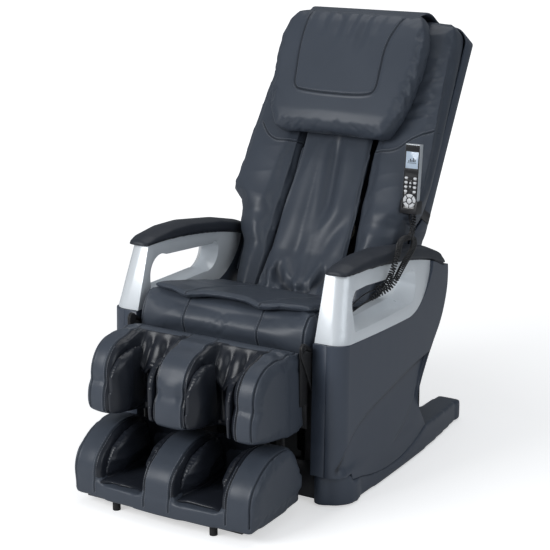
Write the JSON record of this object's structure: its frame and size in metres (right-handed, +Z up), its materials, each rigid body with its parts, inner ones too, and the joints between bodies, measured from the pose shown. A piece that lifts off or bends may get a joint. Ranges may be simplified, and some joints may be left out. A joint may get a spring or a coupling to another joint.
{
  "type": "massage chair",
  "caption": "Home massage chair with reclining back, roller carriage, head pillow, lifting leg rest with calf and foot channels, silver-trimmed arms on skids and a wired handset",
  "frame": {"origin": "on the floor at the centre of the whole outline in plan, the handset cords left out", "axes": "+Z up, the chair faces -Y, +X is the left-hand side of a person sitting in it"},
  "size_m": [0.8049, 1.4599, 1.2664],
  "materials": {
    "leather": "satin grained artificial leather, blue-black",
    "lining": "thin shiny artificial leather, gathered",
    "graphite": "satin moulded",
    "pad": "soft satin skin",
    "silver": "satin silver lacquer on plastic",
    "steel": "black powder coat",
    "bright": "turned",
    "black": "fine textured",
    "sheet": "black sheet",
    "handset": "silver lacquer",
    "key": "light keys",
    "screen": "lit panel behind a clear window",
    "cord": "satin cord jacket",
    "roller": "hard cream plastic",
    "rubber": "dull",
    "motor": "cast"
  },
  "bodies": {
    "root": {"air_pump": "black", "arm_pad_left": "pad", "arm_pad_right": "pad", "arm_trim_left": "silver", "arm_trim_right": "silver", "base_frame": "steel", "bottom_tray": "sheet", "control_box": "black", "cord_socket": "black", "floor_glides": "rubber", "inner_panels": "graphite", "outer_panel_left": "graphite", "outer_panel_right": "graphite", "power_inlet": "black", "rear_cover": "sheet", "seat_cover": "leather", "seat_cushion": "leather", "skid_left": "graphite", "skid_right": "graphite", "handset_cord": "cord", "handset_tail_cord": "cord"},
    "backrest": {"back_frame": "steel", "back_shell": "graphite", "back_wing_left": "leather", "back_wing_right": "leather", "back_cover": "leather", "pillow_flap": "leather", "handset_holder": "black", "travel_motor": "motor"},
    "pillow": {"pillow": "leather"},
    "carriage": {"carriage": "steel"},
    "lead_screw": {"lead_screw": "bright"},
    "massage_head": {"massage_head": "steel"},
    "upper_rollers": {"upper_rollers": "roller"},
    "lower_rollers": {"lower_rollers": "roller"},
    "legrest": {"legrest_frame": "steel", "calf_pad": "leather", "calf_linings": "lining"},
    "footrest": {"foot_frame": "steel", "foot_pad": "leather", "foot_linings": "lining", "foot_glides": "rubber"},
    "handset": {"handset_body": "handset", "handset_screen": "screen"},
    "power_switch": {"power_switch": "black"},
    "recline_motor": {"recline_motor": "black"},
    "recline_rod": {"recline_rod": "bright"},
    "legrest_motor": {"legrest_motor": "black"},
    "legrest_rod": {"legrest_rod": "bright"},
    "key_a1": {"key_a1": "key"},
    "key_a2": {"key_a2": "key"},
    "key_a3": {"key_a3": "key"},
    "key_a4": {"key_a4": "key"},
    "key_b1": {"key_b1": "key"},
    "key_b2": {"key_b2": "key"},
    "key_b3": {"key_b3": "key"},
    "key_b4": {"key_b4": "key"},
    "key_arrows": {"key_arrows": "key"},
    "key_ring": {"key_ring": "key"},
    "key_centre": {"key_centre": "key"}
  },
  "joints": [
    {"name": "backrest_recline", "type": "hinge", "parent": "root", "child": "backrest", "pos_m": [0, 0.06, 0.4], "axis": [-1, 0, 0], "range_deg": [0, 42], "deforming": ["handset_cord", "handset_tail_cord"]},
    {"name": "legrest_lift", "type": "hinge", "parent": "root", "child": "legrest", "pos_m": [0, -0.425, 0.462], "axis": [-1, 0, 0], "range_deg": [0, 80]},
    {"name": "footrest_extension", "type": "slide", "parent": "legrest", "child": "footrest", "axis": [0, 0, -1], "range_m": [0, 0.101]},
    {"name": "pillow_flip", "type": "hinge", "parent": "backrest", "child": "pillow", "pos_m": [0, 0.41991, 1.2633], "axis": [-1, 0, 0], "range_deg": [0, 95]},
    {"name": "carriage_travel", "type": "slide", "parent": "backrest", "child": "carriage", "axis": [0, 0.5, 0.866], "range_m": [0, 0.5]},
    {"name": "lead_screw_turn", "type": "hinge", "parent": "backrest", "child": "lead_screw", "pos_m": [0, 0.40497, 0.80542], "axis": [0, 0.5, 0.866], "continuous": true},
    {"name": "massage_head_rock", "type": "hinge", "parent": "carriage", "child": "massage_head", "pos_m": [0, 0.20397, 0.56929], "axis": [1, 0, 0], "range_deg": [-10, 10]},
    {"name": "upper_rollers_spin", "type": "hinge", "parent": "massage_head", "child": "upper_rollers", "pos_m": [0, 0.20399, 0.62932], "axis": [1, 0, 0], "continuous": true},
    {"name": "lower_rollers_spin", "type": "hinge", "parent": "massage_head", "child": "lower_rollers", "pos_m": [0, 0.15199, 0.53925], "axis": [1, 0, 0], "continuous": true},
    {"name": "handset_lift", "type": "slide", "parent": "backrest", "child": "handset", "axis": [0, 0.0976, 0.9952], "range_m": [0, 0.06], "deforming": ["handset_cord", "handset_tail_cord"]},
    {"name": "power_switch_rock", "type": "hinge", "parent": "root", "child": "power_switch", "pos_m": [0.14, 0.293, 0.15], "axis": [1, 0, 0], "range_deg": [0, 16]},
    {"name": "recline_motor_swing", "type": "hinge", "parent": "root", "child": "recline_motor", "pos_m": [0.09, -0.29, 0.2], "axis": [1, 0, 0], "range_deg": [0, 12.7]},
    {"name": "recline_rod_slide", "type": "slide", "parent": "recline_motor", "child": "recline_rod", "axis": [0, -0.9839, -0.1789], "range_m": [0, 0.07758]},
    {"name": "legrest_motor_swing", "type": "hinge", "parent": "root", "child": "legrest_motor", "pos_m": [-0.09, 0.06, 0.18], "axis": [1, 0, 0], "range_deg": [0, 4.09]},
    {"name": "legrest_rod_slide", "type": "slide", "parent": "legrest_motor", "child": "legrest_rod", "axis": [0, -0.9159, 0.4015], "range_m": [0, 0.1249]},
    {"name": "key_a1_press", "type": "slide", "parent": "handset", "child": "key_a1", "axis": [0, 0.9952, -0.0976], "range_m": [0, 0.001], "stiffness_N_per_m": 300},
    {"name": "key_a2_press", "type": "slide", "parent": "handset", "child": "key_a2", "axis": [0, 0.9952, -0.0976], "range_m": [0, 0.001], "stiffness_N_per_m": 300},
    {"name": "key_a3_press", "type": "slide", "parent": "handset", "child": "key_a3", "axis": [0, 0.9952, -0.0976], "range_m": [0, 0.001], "stiffness_N_per_m": 300},
    {"name": "key_a4_press", "type": "slide", "parent": "handset", "child": "key_a4", "axis": [0, 0.9952, -0.0976], "range_m": [0, 0.001], "stiffness_N_per_m": 300},
    {"name": "key_b1_press", "type": "slide", "parent": "handset", "child": "key_b1", "axis": [0, 0.9952, -0.0976], "range_m": [0, 0.001], "stiffness_N_per_m": 300},
    {"name": "key_b2_press", "type": "slide", "parent": "handset", "child": "key_b2", "axis": [0, 0.9952, -0.0976], "range_m": [0, 0.001], "stiffness_N_per_m": 300},
    {"name": "key_b3_press", "type": "slide", "parent": "handset", "child": "key_b3", "axis": [0, 0.9952, -0.0976], "range_m": [0, 0.001], "stiffness_N_per_m": 300},
    {"name": "key_b4_press", "type": "slide", "parent": "handset", "child": "key_b4", "axis": [0, 0.9952, -0.0976], "range_m": [0, 0.001], "stiffness_N_per_m": 300},
    {"name": "key_arrows_press", "type": "slide", "parent": "handset", "child": "key_arrows", "axis": [0, 0.9952, -0.0976], "range_m": [0, 0.001], "stiffness_N_per_m": 300},
    {"name": "key_ring_press", "type": "slide", "parent": "handset", "child": "key_ring", "axis": [0, 0.9952, -0.0976], "range_m": [0, 0.001], "stiffness_N_per_m": 300},
    {"name": "key_centre_press", "type": "slide", "parent": "handset", "child": "key_centre", "axis": [0, 0.9952, -0.0976], "range_m": [0, 0.001], "stiffness_N_per_m": 300}
  ],
  "couplings": [
    {"joint": "footrest_extension", "follows": "legrest_lift", "m_per_rad": 0.0716},
    {"joint": "lead_screw_turn", "follows": "carriage_travel", "rad_per_m": 251.33},
    {"joint": "recline_motor_swing", "follows": "backrest_recline", "ratio": 0.30124},
    {"joint": "recline_rod_slide", "follows": "backrest_recline", "m_per_rad": 0.10556},
    {"joint": "legrest_motor_swing", "follows": "legrest_lift", "ratio": 0.05049},
    {"joint": "legrest_rod_slide", "follows": "legrest_lift", "m_per_rad": 0.08931}
  ]
}
